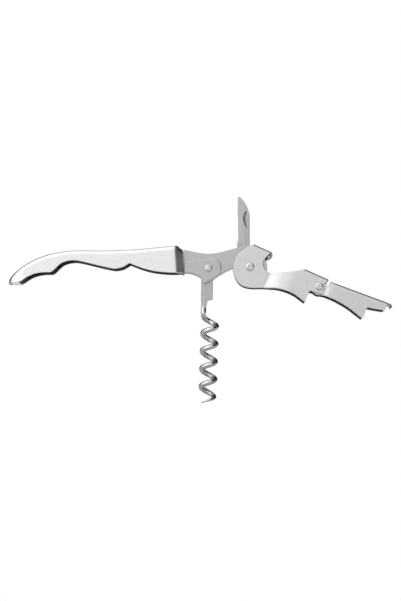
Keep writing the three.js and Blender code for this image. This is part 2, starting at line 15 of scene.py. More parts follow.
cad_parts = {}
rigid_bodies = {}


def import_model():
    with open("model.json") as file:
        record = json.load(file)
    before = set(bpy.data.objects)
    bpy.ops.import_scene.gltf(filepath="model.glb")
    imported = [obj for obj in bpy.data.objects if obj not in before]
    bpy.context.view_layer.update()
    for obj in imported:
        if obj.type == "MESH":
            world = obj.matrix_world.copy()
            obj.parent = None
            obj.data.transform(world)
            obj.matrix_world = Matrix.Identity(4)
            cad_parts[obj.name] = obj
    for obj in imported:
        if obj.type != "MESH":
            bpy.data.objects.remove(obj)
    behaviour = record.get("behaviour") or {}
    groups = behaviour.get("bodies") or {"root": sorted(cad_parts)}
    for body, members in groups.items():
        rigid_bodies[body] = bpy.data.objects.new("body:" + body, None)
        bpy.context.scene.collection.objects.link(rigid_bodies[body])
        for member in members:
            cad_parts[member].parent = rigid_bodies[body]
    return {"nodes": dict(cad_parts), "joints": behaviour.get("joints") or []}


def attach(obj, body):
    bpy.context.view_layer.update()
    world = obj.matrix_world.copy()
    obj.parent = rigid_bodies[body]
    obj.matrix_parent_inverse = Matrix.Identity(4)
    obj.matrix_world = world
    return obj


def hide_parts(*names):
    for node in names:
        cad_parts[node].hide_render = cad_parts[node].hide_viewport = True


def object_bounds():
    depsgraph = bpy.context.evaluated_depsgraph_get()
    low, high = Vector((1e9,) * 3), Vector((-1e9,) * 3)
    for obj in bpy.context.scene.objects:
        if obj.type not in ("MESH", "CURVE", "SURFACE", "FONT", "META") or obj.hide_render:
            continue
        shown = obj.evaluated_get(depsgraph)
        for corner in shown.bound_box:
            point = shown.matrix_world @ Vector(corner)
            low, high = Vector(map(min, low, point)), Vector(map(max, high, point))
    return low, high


for stray in list(bpy.data.objects):
    bpy.data.objects.remove(stray)
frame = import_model()
cad_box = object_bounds()

MM = 0.001
PIVOT = {j["name"]: np.array(j["pos_m"]) / MM for j in frame["joints"]}
WORM_AT = PIVOT["worm_fold"]
LEVER_AT = PIVOT["lever_fold"]
HINGE_AT = PIVOT["lever_tip"]
BLADE_AT = PIVOT["blade_fold"] - WORM_AT

# How far each lever step slopes down to the right, in degrees.
UPPER_TILT = 24.4
LOWER_TILT = 20.6

# Half widths across y, from the middle plane outwards.
FRAME_GAP = 1.4
FRAME_FACE = 2.6
BOLSTER_FACE = 3.5
HEAD_OUTER = 3.95
UPPER_HALF = 6.25
LOWER_HALF = 5.6
LUG_HALF = 4.95

# Radii of the four pins. Their holes in the sheets are a little wider.
WORM_PIN, LEVER_PIN, HINGE_PIN, BLADE_PIN = 1.2, 1.4, 1.2, 0.9
HOLE_PLAY = 0.02


# ---- outlines ----

def curve(points, step=0.3):
    """Points along a smooth curve through the given ones."""
    padded = [points[0]] + list(points) + [points[-1]]
    out = [tuple(points[0])]
    for p0, p1, p2, p3 in zip(padded, padded[1:], padded[2:], padded[3:]):
        n = max(2, math.ceil(math.dist(p1, p2) / step))
        for i in range(1, n + 1):
            t = i / n
            out.append(tuple(
                0.5 * (2 * b + (c - a) * t + (2 * a - 5 * b + 4 * c - d) * t * t
                       + (3 * b - a - 3 * c + d) * t ** 3)
                for a, b, c, d in zip(p0, p1, p2, p3)
            ))
    return out


def arc(centre, radius, start, end, step=0.3):
    """Points along a circular arc between two angles in degrees."""
    n = max(3, math.ceil(abs(math.radians(end - start)) * radius / step))
    angles = [math.radians(start + (end - start) * i / n) for i in range(n + 1)]
    return [(centre[0] + radius * math.cos(a), centre[1] + radius * math.sin(a)) for a in angles]


def hole(centre, pin):
    """The round hole for a pin of the given radius."""
    return arc(centre, pin + HOLE_PLAY, 0, 360)[:-1]


def along(pairs, x):
    """Smooth value at x of a curve through a few (x, value) pairs in rising x."""
    xs, ys = np.array(pairs, float).T
    slopes = np.gradient(ys, xs)
    i = np.clip(np.searchsorted(xs, x, side="right") - 1, 0, len(xs) - 2)
    span = xs[i + 1] - xs[i]
    t = np.clip((x - xs[i]) / span, 0, 1)
    return ((2 * t ** 3 - 3 * t ** 2 + 1) * ys[i] + (t ** 3 - 2 * t ** 2 + t) * slopes[i] * span
            + (3 * t ** 2 - 2 * t ** 3) * ys[i + 1] + (t ** 3 - t ** 2) * slopes[i + 1] * span)


def smoothstep(x, low, high):
    t = np.clip((x - low) / (high - low), 0, 1)
    return t * t * (3 - 2 * t)


# A smaller turn than this at an outline point is part of a curve, not a corner.
SMOOTH_TURN = math.radians(28)


def tidy_loop(loop, longest, corner, seam):
    """Drops repeated points, rounds sharp corners a little and splits long stretches."""
    points = [np.array(p, float) for p in loop]
    points = [p for p, q in zip(points, points[1:] + points[:1]) if np.linalg.norm(p - q) > 1e-4]
    sharp = seam(np.array(points))
    rounded = []
    for i, p in enumerate(points):
        before, after = points[i - 1] - p, points[(i + 1) % len(points)] - p
        lb, la = np.linalg.norm(before), np.linalg.norm(after)
        turn = math.pi - math.acos(np.clip(before @ after / (lb * la), -1, 1))
        reach = min(corner, 0.45 * lb, 0.45 * la)
        if turn < SMOOTH_TURN or reach < 0.01 or sharp[i]:
            rounded.append(p)
            continue
        a, b = p + before / lb * reach, p + after / la * reach
        rounded += [a * (1 - t) ** 2 + 2 * p * t * (1 - t) + b * t * t for t in (0, 0.25, 0.5, 0.75, 1)]
    out = []
    for p, q in zip(rounded, rounded[1:] + rounded[:1]):
        n = max(1, math.ceil(np.linalg.norm(q - p) / longest))
        out += [p + (q - p) * k / n for k in range(n)]
    return np.array(out)


def turned(loop, ccw):
    """The loop running counter-clockwise, or clockwise if ccw is false."""
    x, z = loop.T
    area = np.sum(x * np.roll(z, -1) - np.roll(x, -1) * z)
    return loop if (area > 0) == ccw else loop[::-1]


def inside(points, loops):
    """Which points lie inside the closed loops, and not in a hole."""
    hits = np.zeros(len(points), int)
    px, pz = points[:, 0:1], points[:, 1:2]
    for loop in loops:
        x0, z0 = loop.T
        x1, z1 = np.roll(loop, -1, axis=0).T
        crosses = (z0 > pz) != (z1 > pz)
        with np.errstate(divide="ignore", invalid="ignore"):
            at = x0 + (pz - z0) * (x1 - x0) / (z1 - z0)
        hits += np.sum(crosses & (px < at), axis=1)
    return hits % 2 == 1


# ---- solids ----

def piece(name, coords, faces, normals, body, finish, slot, node):
    """A smooth-shaded mesh object from millimetre coordinates. It stands for the given CAD node."""
    coords, normals = np.asarray(coords, float), np.asarray(normals, float)
    _, first, where = np.unique(np.round(coords, 3) + 0.0, axis=0, return_index=True, return_inverse=True)
    where = where.reshape(-1)
    merged = np.zeros((len(first), 3))
    np.add.at(merged, where, normals)
    kept = []
    for face in faces:
        ring = [where[k] for k in face]
        ring = [k for i, k in enumerate(ring) if k != ring[i - 1]]
        if len(set(ring)) == len(ring) >= 3:
            kept.append(ring)
    used = np.unique(np.concatenate(kept))
    renumber = np.zeros(len(first), int)
    renumber[used] = np.arange(len(used))
    places, merged = coords[first][used], merged[used]
    merged /= np.maximum(np.linalg.norm(merged, axis=1, keepdims=True), 1e-9)
    # A face whose corners run the wrong way round for its normals is turned over.
    kept = [[int(k) for k in renumber[ring]] for ring in kept]
    ends = np.array([(ring[0], ring[1], ring[2], ring[-1]) for ring in kept])
    p0, p1, p2, p3 = (places[ends[:, k]] for k in range(4))
    facing = np.cross(p1 - p0, p2 - p0) + np.cross(p2 - p0, p3 - p0)
    wanted = merged[ends].sum(axis=1)
    for ring, wrong in zip(kept, np.sum(facing * wanted, axis=1) < 0):
        if wrong:
            ring.reverse()
    mesh = bpy.data.meshes.new(name)
    mesh.from_pydata((places * MM).tolist(), [], kept)
    mesh.shade_smooth()
    mesh.normals_split_custom_set_from_vertices(merged.tolist())
    obj = bpy.data.objects.new(name, mesh)
    bpy.context.scene.collection.objects.link(obj)
    mesh.materials.append(finish)
    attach(obj, body)
    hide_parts(node)
    return obj


def no_seam(uv):
    return np.zeros(len(uv), bool)


def narrowed(loop, out, edge):
    """How far each point of a loop moves in for a rounded edge, less where the loop has no room to."""
    reach = np.full((len(loop), 1), edge)
    ahead = np.roll(loop, -1, axis=0) - loop
    for _ in range(16):
        base = loop - out * reach
        moved = np.roll(base, -1, axis=0) - base
        tight = np.sum(moved * ahead, axis=1) < 0.15 * np.sum(ahead * ahead, axis=1)
        reach[tight | np.roll(tight, 1)] *= 0.7
    return reach


def within(triangles, walls):
    """The triangles on the left of the walls: from each wall inwards, across every edge that isn't a wall."""
    walls = set(walls)
    owner = {}
    for k, t in enumerate(triangles):
        owner.update({(t[0], t[1]): k, (t[1], t[2]): k, (t[2], t[0]): k})
    kept = {owner[wall] for wall in walls if wall in owner}
    growing = list(kept)
    while growing:
        a, b, c = triangles[growing.pop()]
        for one, other in ((a, b), (b, c), (c, a)):
            beyond = owner.get((other, one))
            if (one, other) not in walls and beyond is not None and beyond not in kept:
                kept.add(beyond)
                growing.append(beyond)
    return [triangles[k] for k in sorted(kept)]


def slab(loops, shape, grid=None, edge=0.16, rows=4, seam=no_seam, longest=0.8):
    """A closed sheet with rounded edges.

    loops are outlines in sheet coordinates, holes after the outer one. shape(uv) gives the outer point, inner
    point, outer normal and inner normal for each row of uv. seam(uv) marks outline points that close on their
    mirror image. grid is the spacing of points inside the outline, for a sheet that isn't flat.
    """
    loops = [turned(tidy_loop(loop, longest, 2.2 * edge, seam), i == 0) for i, loop in enumerate(loops)]
    bases, outs = [], []
    for loop in loops:
        back = loop - np.roll(loop, 1, axis=0)
        ahead = np.roll(loop, -1, axis=0) - loop
        n0 = np.stack([back[:, 1], -back[:, 0]], 1) / np.linalg.norm(back, axis=1, keepdims=True)
        n1 = np.stack([ahead[:, 1], -ahead[:, 0]], 1) / np.linalg.norm(ahead, axis=1, keepdims=True)
        closed = seam(loop)
        follows, leads = closed & np.roll(closed, 1), closed & np.roll(closed, -1)
        n0[follows & ~leads] = n1[follows & ~leads]
        n1[leads & ~follows] = n0[leads & ~follows]
        n0[follows & leads] = n1[follows & leads] = 0
        mid = n0 + n1
        out = 2 * mid / np.maximum(np.sum(mid * mid, axis=1, keepdims=True), 1.0)
        outs.append(out * narrowed(loop, out, edge))
        bases.append(loop - outs[-1])
    flat = np.concatenate(bases)
    ids, edges, at = [], [], 0
    for base in bases:
        ring = list(range(at, at + len(base)))
        ids.append(ring)
        edges += list(zip(ring, ring[1:] + ring[:1]))
        at += len(base)
    if grid:
        lo, hi = flat.min(0), flat.max(0)
        us = np.arange(lo[0] + grid / 2, hi[0], grid)
        vs = np.arange(lo[1] + grid / 2, hi[1], grid * 0.866)
        net = np.array([(u + (k % 2) * grid / 2, v) for k, v in enumerate(vs) for u in us])
        net = net[inside(net, bases)]
        near = np.array([np.min(np.sum((flat - p) ** 2, axis=1)) for p in net])
        flat = np.concatenate([flat, net[near > (0.55 * grid) ** 2]])
    found = delaunay_2d_cdt([Vector(p) for p in flat.tolist()], edges, [], 0, 1e-7)
    back_to = [origin[0] if origin else -1 for origin in found[3]]
    triangles = [[back_to[k] for k in t] for t in found[2]]
    triangles = within([t for t in triangles if min(t) >= 0], edges)

    a, b, na, nb = shape(flat)
    count = len(flat)
    coords, normals = [a, b], [na, nb]
    faces = triangles + [[k + count for k in reversed(t)] for t in triangles]
    total = 2 * count
    for loop, out, ring in zip(loops, outs, ids):
        ia, ib, _, _ = shape(loop - out * 0.1)
        oa, ob, _, _ = shape(loop)
        push_a, push_b = oa - ia, ob - ib
        push_a /= np.maximum(np.linalg.norm(push_a, axis=1, keepdims=True), 1e-9)
        push_b /= np.maximum(np.linalg.norm(push_b, axis=1, keepdims=True), 1e-9)
        thick = np.linalg.norm(oa - ob, axis=1, keepdims=True)
        depth = np.minimum(edge, 0.48 * thick)
        rims = [np.array(ring)]
        turns = [math.radians(90 * k / rows) for k in range(1, rows + 1)]
        for side, steps in ((0, turns), (1, turns[::-1])):
            for turn in steps:
                ra, rb, rna, rnb = shape(loop - out * (1 - math.sin(turn)))
                share = depth * (1 - math.cos(turn)) / thick
                start, end = (ra, rb) if side == 0 else (rb, ra)
                face_normal, push = (rna, push_a) if side == 0 else (rnb, push_b)
                coords.append(start + (end - start) * share)
                normals.append(face_normal * math.cos(turn) + push * math.sin(turn))
                rims.append(np.arange(total, total + len(loop)))
                total += len(loop)
        rims.append(np.array(ring) + count)
        closed = seam(loop)
        for top, low in zip(rims, rims[1:]):
            for i in range(len(loop)):
                j = (i + 1) % len(loop)
                if not (closed[i] and closed[j]):
                    faces.append([int(top[i]), int(top[j]), int(low[j]), int(low[i])])
    return np.concatenate(coords), faces, np.concatenate(normals)


def joined(*solids):
    """Several closed skins as one mesh."""
    coords, faces, normals, at = [], [], [], 0
    for c, f, n in solids:
        coords.append(c)
        normals.append(n)
        faces += [[k + at for k in face] for face in f]
        at += len(c)
    return np.concatenate(coords), faces, np.concatenate(normals)


def placed(solid, at, tilt=0.0):
    """Tips a solid down to the right about its own pivot, then moves it."""
    c, s = math.cos(math.radians(tilt)), math.sin(math.radians(tilt))
    turn = np.array([[c, 0, -s], [0, 1, 0], [s, 0, c]])
    coords, faces, normals = solid
    return coords @ turn + np.asarray(at), faces, normals @ turn


def flat_shape(y0, y1):
    """A flat plate between y0, its outer face, and y1."""
    sign = np.sign(y0 - y1)

    def shape(uv):
        ones = np.ones(len(uv))
        a = np.stack([uv[:, 0], ones * y0, uv[:, 1]], 1)
        b = np.stack([uv[:, 0], ones * y1, uv[:, 1]], 1)
        normal = np.tile([0.0, sign, 0.0], (len(uv), 1))
        return a, b, normal, -normal
    return shape


def bent_shape(point, wall, seam=no_seam):
    """A sheet of even thickness under the surface point(u, v)."""
    small = 0.02

    def shape(uv):
        u, v = uv.T
        a = point(u, v)
        du = point(u + small, v) - point(u - small, v)
        dv = point(u, v + small) - point(u, v - small)
        normal = np.cross(du, dv)
        normal /= np.maximum(np.linalg.norm(normal, axis=1, keepdims=True), 1e-12)
        normal[seam(uv)] = (-1.0, 0.0, 0.0)
        return a, a - normal * wall, normal, -normal
    return shape


def channel_point(half, top, bend, web):
    """Surface of a folded sheet: v runs from the near lower edge over the web to the far one.

    web is the v where the bend begins, and bend is its radius.
    """
    arc_length = bend * math.pi / 2

    def point(u, v):
        side, reach = np.sign(v), np.abs(v)
        turn = np.clip((reach - web) / arc_length, 0, 1) * math.pi / 2
        z = top(u) - bend + bend * np.cos(turn) - np.maximum(reach - web - arc_length, 0)
        wide = half(u)
        y = np.where(reach < web, reach / web * (wide - bend), wide - bend + bend * np.sin(turn))
        return np.stack([u, side * y, z], 1)
    return point


def channel_reach(x, z, top, bend, web):
    """The v of side-view point (x, z) on a folded sheet."""
    above = z - (float(top(np.array([x]))[0]) - bend)
    if above <= 0:
        return web + bend * math.pi / 2 - above
    return web + bend * math.acos(min(above / bend, 1))


def mirrored(path):
    """A side-view path on the near side of a sheet, then back along the far side."""
    return [(u, -v) for u, v in path] + [(u, v) for u, v in reversed(path)]


def lathe(profile, at, steps=64):
    """A round solid about an axis along y through at, from (radius, y) pairs; both ends are on the axis."""
    profile = np.array(profile, float)
    tangent = np.gradient(profile, axis=0)
    lean = np.stack([tangent[:, 1], -tangent[:, 0]], 1)
    lean /= np.maximum(np.linalg.norm(lean, axis=1, keepdims=True), 1e-9)
    coords, normals, faces = [], [], []
    for k in range(steps):
        a = 2 * math.pi * k / steps
        coords += [(r * math.cos(a), y, r * math.sin(a)) for r, y in profile]
        normals += [(nr * math.cos(a), ny, nr * math.sin(a)) for nr, ny in lean]
    n = len(profile)
    for k in range(steps):
        for i in range(n - 1):
            a, b = k * n + i, ((k + 1) % steps) * n + i
            faces.append([a, b, b + 1, a + 1])
    return np.array(coords) + np.asarray(at), faces, np.array(normals)


# ---- materials ----

def ramp(tree, source, low, high, start, end, shape="LINEAR"):
    """A value that goes from start to end as the source goes from low to high."""
    node = tree.nodes.new("ShaderNodeMapRange")
    node.interpolation_type = shape
    for key, value in zip(("From Min", "From Max", "To Min", "To Max"), (low, high, start, end)):
        node.inputs[key].default_value = value
    tree.links.new(source, node.inputs["Value"])
    return node.outputs["Result"]


def maths(tree, operation, *values):
    """The result of one operation on numbers and node outputs."""
    node = tree.nodes.new("ShaderNodeMath")
    node.operation = operation
    for socket, value in zip(node.inputs, values):
        if isinstance(value, (int, float)):
            socket.default_value = value
        else:
            tree.links.new(value, socket)
    return node.outputs["Value"]


def noise(tree, vector, scale, detail, roughness):
    """A smooth random value at each place."""
    node = tree.nodes.new("ShaderNodeTexNoise")
    for key, value in (("Scale", scale), ("Detail", detail), ("Roughness", roughness)):
        node.inputs[key].default_value = value
    tree.links.new(vector, node.inputs["Vector"])
    return node.outputs["Fac"]


def split(tree, vector):
    """The x, y and z of a vector."""
    node = tree.nodes.new("ShaderNodeSeparateXYZ")
    tree.links.new(vector, node.inputs["Vector"])
    return node.outputs


# The part of a noise's range that is put to use.
NOISE_RANGE = (0.3, 0.7)
GRAIN_DETAIL, GRAIN_ROUGHNESS, GRAIN_DEPTH = 5, 0.62, 0.00004
# Patches with a slightly different gloss, and the share by which the roughness wanders.
PATCH_SCALE, PATCH_DETAIL, PATCH_ROUGHNESS, PATCH_SHARE = 90, 3, 0.5, 0.15
# The distance from the middle plane at which the painted shade on a face that looks inwards is full.
INWARD_DEPTH = 0.0006
# How squarely a face looks sideways: below the first number it is an edge and takes the painted edge light in
# full, above the second it is flat.
EDGE_TO_FLAT = (0.35, 0.9)


def steel(name, tone, rough, grain=(1, 1, 1), tilt=0.0, contrast=0.1, bump=0.04, size=2.2,
          inside=1.0, painted_edge_light=1.0):
    """Stainless steel with a grain, whose lines are as fine as grain says along x, y and z.

    inside darkens the faces that look towards the middle plane: painted shade in the hollow between the
    sheets. The last
    argument paints light on edges and bends: a highlight where it is above 1, and shade where it is below 1.
    tone of edges and bends, which are burnished or ground apart from the flat faces.
    """
    material = bpy.data.materials.new(name)
    material.use_nodes = True
    tree = material.node_tree
    shader = tree.nodes["Principled BSDF"]
    shader.inputs["Metallic"].default_value = 1.0

    place = tree.nodes.new("ShaderNodeTexCoord")
    turn = tree.nodes.new("ShaderNodeMapping")
    turn.inputs["Rotation"].default_value = (0, math.radians(-tilt), 0)
    stretch = tree.nodes.new("ShaderNodeMapping")
    stretch.inputs["Scale"].default_value = [1000 * g for g in grain]
    tree.links.new(place.outputs["Object"], turn.inputs["Vector"])
    tree.links.new(turn.outputs["Vector"], stretch.inputs["Vector"])
    lines = noise(tree, stretch.outputs["Vector"], size, GRAIN_DETAIL, GRAIN_ROUGHNESS)
    patches = noise(tree, place.outputs["Object"], PATCH_SCALE, PATCH_DETAIL, PATCH_ROUGHNESS)

    spot_y = split(tree, place.outputs["Object"])["Y"]
    facing_y = split(tree, place.outputs["Normal"])["Y"]
    outwards = maths(tree, "MULTIPLY", spot_y, facing_y)
    tint = ramp(tree, lines, *NOISE_RANGE, 1 - contrast, 1 + contrast)
    # Painted shade on the faces that look inwards.
    shade = ramp(tree, outwards, -INWARD_DEPTH, 0.0, inside, 1.0)
    # Painted highlight or shade on edges and bends, by how far the face turns from sideways.
    edge_light_scale = ramp(tree, maths(tree, "ABSOLUTE", facing_y), *EDGE_TO_FLAT, painted_edge_light, 1.0)
    colour = tree.nodes.new("ShaderNodeVectorMath")
    colour.operation = "SCALE"
    colour.inputs[0].default_value = tone
    brightness = maths(tree, "MULTIPLY", maths(tree, "MULTIPLY", tint, shade), edge_light_scale)
    tree.links.new(brightness, colour.inputs["Scale"])
    tree.links.new(colour.outputs["Vector"], shader.inputs["Base Color"])

    gloss = ramp(tree, patches, *NOISE_RANGE, rough * (1 - PATCH_SHARE), rough * (1 + PATCH_SHARE))
    tree.links.new(gloss, shader.inputs["Roughness"])
    relief = tree.nodes.new("ShaderNodeBump")
    relief.inputs["Strength"].default_value = bump
    relief.inputs["Distance"].default_value = GRAIN_DEPTH
    tree.links.new(lines, relief.inputs["Height"])
    tree.links.new(relief.outputs["Normal"], shader.inputs["Normal"])
    return material


# An inside value of 0.2 paints shade on the faces inside the handle and lever channels. Edge values above 1
# paint highlights on edges and bends (frame, bolsters, levers); below 1 they paint shade there (blade, tang).
HANDLE_STEEL = steel("handle_steel", (0.75, 0.75, 0.74), 0.28, grain=(0.08, 1, 1), contrast=0.03, inside=0.2)
FRAME_STEEL = steel("frame_steel", (0.45, 0.45, 0.45), 0.40, contrast=0.05, size=1.5, painted_edge_light=1.8)
UPPER_STEEL = steel("upper_steel", (0.59, 0.59, 0.585), 0.28, grain=(1, 0.1, 0.1), tilt=UPPER_TILT,
                    contrast=0.03, inside=0.2, painted_edge_light=1.2)
LOWER_STEEL = steel("lower_steel", (0.56, 0.56, 0.555), 0.28, grain=(1, 0.1, 0.1), tilt=LOWER_TILT,
                    contrast=0.03, inside=0.2, painted_edge_light=1.2)
# A darker copy of the lever steel: painted shade on the opener lip and on the lower lever's turned-down
# tongue.
SHADED_LIP_STEEL = steel("lip_steel_painted_shade", (0.25, 0.25, 0.25), 0.32, grain=(1, 0.2, 1), contrast=0.08)
BLADE_STEEL = steel("blade_steel", (0.40, 0.40, 0.40), 0.36, grain=(1, 1, 0.04), contrast=0.07, painted_edge_light=0.7)
TANG_STEEL = steel("tang_steel", (0.42, 0.42, 0.415), 0.36, grain=(1, 1, 0.05), contrast=0.07, painted_edge_light=0.8)
WORM_STEEL = steel("worm_steel", (0.60, 0.60, 0.59), 0.09, grain=(0.3, 0.3, 0.3), contrast=0.04, bump=0.0)
RIVET_STEEL = steel("rivet_steel", (0.52, 0.52, 0.51), 0.16, grain=(0.6, 0.6, 0.6), contrast=0.06, bump=0.02)
WASHER_STEEL = steel("washer_steel", (0.40, 0.40, 0.40), 0.34, grain=(1, 0.2, 1), contrast=0.08)


# ---- handle ----

NOSE_X, NOSE_LENGTH, WIDEST = -93.1, 8.3, 7.0
FLANK_START, FLANK_END = NOSE_X + NOSE_LENGTH, -15.9
MOUTH_U = -11.35
HANDLE_WALL, HANDLE_BEND, HANDLE_WEB = 0.9, 2.2, 3.4
MOUTH_LEAN = -0.07
NOSE_FLOOR = -6.7
NOSE_SPAN = 10.0
# Height of the web along the handle, and its half width where the neck draws in.
HANDLE_TOP = [
    (-93.1, -6.0), (-92.8, -5.1), (-92.2, -4.2), (-91.2, -3.1), (-89.8, -1.9), (-87.5, -0.1), (-82.9, 2.9),
    (-78.3, 5.1), (-73.6, 6.7), (-69.0, 7.6), (-64.3, 8.2), (-50.3, 8.3), (-41.0, 8.5), (-31.6, 9.0),
    (-22.3, 9.9), (-16.0, 10.4), (-14.2, 10.6), (-13.5, 10.5), (-12.8, 9.8), (-12.2, 9.25), (-11.5, 9.0),
    (-10.0, 9.0),
]
HANDLE_NECK = [(-15.9, 6.06), (-15.3, 6.0), (-14.7, 5.8), (-14.1, 5.48), (-13.3, 4.98), (-12.3, 4.36),
               (-11.3, 3.74), (-10.8, 3.43)]
# Lower edge: the nose, the thumb end, the finger hollow with its lever notch, and the run to the mouth.
HANDLE_LOW = [
    [(-93.1, -5.9), (-92.7, -6.4), (-91.4, NOSE_FLOOR), (-88.4, NOSE_FLOOR)],
    [(-88.4, NOSE_FLOOR), (-86.6, -5.9), (-83.7, -4.0), (-80.9, -2.8), (-77.7, -2.1), (-73.0, -1.9)],
    [(-73.0, -1.9), (-71.7, -1.0), (-68.5, 2.0), (-65.7, 3.2), (-62.6, 3.6), (-59.2, 3.2), (-49.9, 0.95),
     (-45.3, -0.05), (-43.2, -0.3), (-39.7, 0.4), (-36.5, 2.3)],
    [(-36.5, 2.3), (-34.6, 1.45), (-30.5, -0.05), (-25.8, -1.3), (-20.3, -2.0), (-15.0, -2.22),
     (-10.8, -2.0)],
]


def handle_half(x):
    """Half the handle's width: a rounded nose, a straight flank and a drawn-in neck."""
    back = np.clip((FLANK_START - x) / NOSE_LENGTH, 0, 1)
    nose = WIDEST * np.maximum(1 - back ** 2.5, 0) ** 0.4
    slope = (HANDLE_NECK[0][1] - WIDEST) / (FLANK_END - FLANK_START)
    flank = WIDEST + slope * (x - FLANK_START)
    neck = along(HANDLE_NECK, np.maximum(x, FLANK_END))
    return np.where(x < FLANK_START, nose, np.where(x < FLANK_END, flank, neck))


def nose_to_x(u):
    """Round the nose, u counts by angle, so that the sheet's coordinates stay even there."""
    turn = np.clip((FLANK_START - u) / NOSE_SPAN, 0, 1) * math.pi / 2
    return np.where(u < FLANK_START, FLANK_START - NOSE_LENGTH * np.sin(turn) ** 0.8, u)


def x_to_nose(x):
    if x >= FLANK_START:
        return x
    turn = math.asin(min(((FLANK_START - x) / NOSE_LENGTH) ** 1.25, 1))
    return FLANK_START - turn / (math.pi / 2) * NOSE_SPAN


def handle_bend(x):
    """Radius of the bend between web and flank, smaller where the handle is narrow."""
    return np.minimum(HANDLE_BEND, 0.75 * handle_half(x)) + 1e-4


def mouth_lean(x):
    return MOUTH_LEAN * smoothstep(x, -24, -15)


def handle_point(u, v):
    """The handle's outer surface: u runs along it, v from the middle of the web down the flank."""
    x = nose_to_x(u)
    half, top, bend = handle_half(x), along(HANDLE_TOP, x), handle_bend(x)
    arc_length = HANDLE_BEND * math.pi / 2
    side, reach = np.sign(v), np.abs(v)
    turn = np.clip((reach - HANDLE_WEB) / arc_length, 0, 1) * math.pi / 2
    y = np.where(reach < HANDLE_WEB, reach / HANDLE_WEB * (half - bend), half - bend + bend * np.sin(turn))
    z = top - bend + bend * np.cos(turn) - np.maximum(reach - HANDLE_WEB - arc_length, 0)
    return np.stack([x + mouth_lean(x) * z, side * y, z], 1)


def handle_uv(x, z):
    """Sheet coordinates of a point on the flank."""
    ux = x - float(mouth_lean(x)) * z
    at = np.array([ux])
    flank = float(along(HANDLE_TOP, at)[0] - handle_bend(at)[0]) - z
    return x_to_nose(ux), HANDLE_WEB + HANDLE_BEND * math.pi / 2 + max(flank, 0.05)


def handle_shell():
    low = [p for part in HANDLE_LOW for p in curve(part, 0.5)]
    path = [handle_uv(x, z) for x, z in low if x < MOUTH_U - 0.7]
    path[0] = (FLANK_START - NOSE_SPAN, path[0][1])
    path.append((MOUTH_U, path[-1][1]))

    def seam(uv):
        return uv[:, 0] < FLANK_START - NOSE_SPAN + 1e-6
    return slab([mirrored(path)], bent_shape(handle_point, HANDLE_WALL, seam), grid=0.7, edge=0.2, seam=seam)


def nose_floor():
    """The turned-in floor that closes the nose underneath."""
    xs = [NOSE_X + 0.5 + 4.7 * (k / 14) ** 1.6 for k in range(15)]
    near = [(x, -float(handle_half(np.array([x]))[0]) + 0.25) for x in xs]
    loop = near + [(x, -y) for x, y in reversed(near)]

    def shape(uv):
        x, y = uv.T
        z = np.full(len(uv), NOSE_FLOOR + 0.06)
        down = np.tile([0.0, 0.0, -1.0], (len(uv), 1))
        return np.stack([x, y, z], 1), np.stack([x, y, z + 0.8], 1), down, -down
    return slab([loop], shape, edge=0.2)


# ---- frame ----

NECK_TOP = [(-8.4, 8.2), (-3.7, 7.3), (1.0, 7.0), (5.6, 7.7), (11.7, 9.3), (17.3, 10.7)]
NECK_BELOW = [(2.4, -4.6), (-0.9, -6.7), (-2.1, -6.7), (-3.3, -4.6), (-5.5, -3.1), (-8.4, -2.1),
              (-11.0, -1.8)]
LEVER_FLAT = (LEVER_AT - WORM_AT)[[0, 2]]
BLADE_FLAT = BLADE_AT[[0, 2]]
FRAME_EYE = 8.0
TAIL_END, TAIL_TOP, TAIL_LOW = -34.0, 7.4, 5.0
SPACER_RIVETS = [(-30.5, 6.2), (-20.5, 6.2)]


def frame_outline():
    return ([(-13.5, TAIL_TOP), (-11.8, 7.0), (-11.75, 8.1), (-11.3, 8.85)] + curve(NECK_TOP)
            + [(19.4, 10.9), (19.75, 8.7)] + arc(LEVER_FLAT, FRAME_EYE, 80, -178) + [(8.0, -1.2)]
            + curve(NECK_BELOW)
            + [(-15.2, -1.4), (-17.6, TAIL_LOW)] + arc((TAIL_END + 1.2, 6.2), 1.2, 270, 90))


def frame_plate(outer, inner):
    holes = [hole(at, BLADE_PIN) for at in [*SPACER_RIVETS, BLADE_FLAT]]
    holes += [hole((0, 0), WORM_PIN), hole(LEVER_FLAT, LEVER_PIN)]
    return slab([frame_outline(), *holes], flat_shape(outer, inner), longest=3, edge=0.11)


def bolster(outer, inner):
    side = ([(-11.35, 3.3), (-0.6, 4.3)]
            + curve([(-0.6, 4.3), (1.2, 4.55), (3.2, 4.5), (4.8, 3.6), (5.6, 2.3), (5.75, 1.2)])
            + [(5.95, -2.2), (2.4, -4.7)] + curve([*NECK_BELOW[1:-1], (-11.0, -1.9)]))
    return slab([side, hole((0, 0), WORM_PIN)], flat_shape(outer, inner), longest=3, edge=0.38)


# ---- blade ----

BLADE_HALF = 0.6
EDGE_X, SPINE_X, EDGE_FADE, EDGE_LEFT = 13.65, 19.3, 3.2, 0.55
BLADE_HEEL = 2.65
SCALLOP_PITCH, SCALLOP_DEPTH, SCALLOP_START, SCALLOP_END = 1.05, 0.28, 13.4, 24.5
# Left edge of the nail nick. Its right edge is straight.
NICK = [(17.8, 19.2), (16.8, 20.9), (16.1, 23.2), (16.15, 24.8), (16.7, 26.3), (17.6, 27.4)]
NICK_X = 17.85
NICK_DEPTH = 0.8


def blade_outline():
    side = ([(SPINE_X, 24.6), (SPINE_X, 8.0)] + arc(BLADE_FLAT, BLADE_HEEL, 29.4, -180)
            + [(13.3, 9.6), (13.3, 12.1), (EDGE_X, 12.6)])
    z = SCALLOP_START
    while z < SCALLOP_END:
        side += [(EDGE_X + SCALLOP_DEPTH * math.sin(math.pi * k / 6), z + SCALLOP_PITCH * k / 6)
                 for k in range(6)]
        z += SCALLOP_PITCH
    side += [(EDGE_X, z), (EDGE_X + 0.05, 33.6), (EDGE_X + 0.25, 34.0)]
    return side + curve([(EDGE_X + 0.25, 34.0), (14.6, 33.8), (15.9, 32.7), (17.8, 29.7), (18.95, 26.5),
                         (SPINE_X, 24.6)])


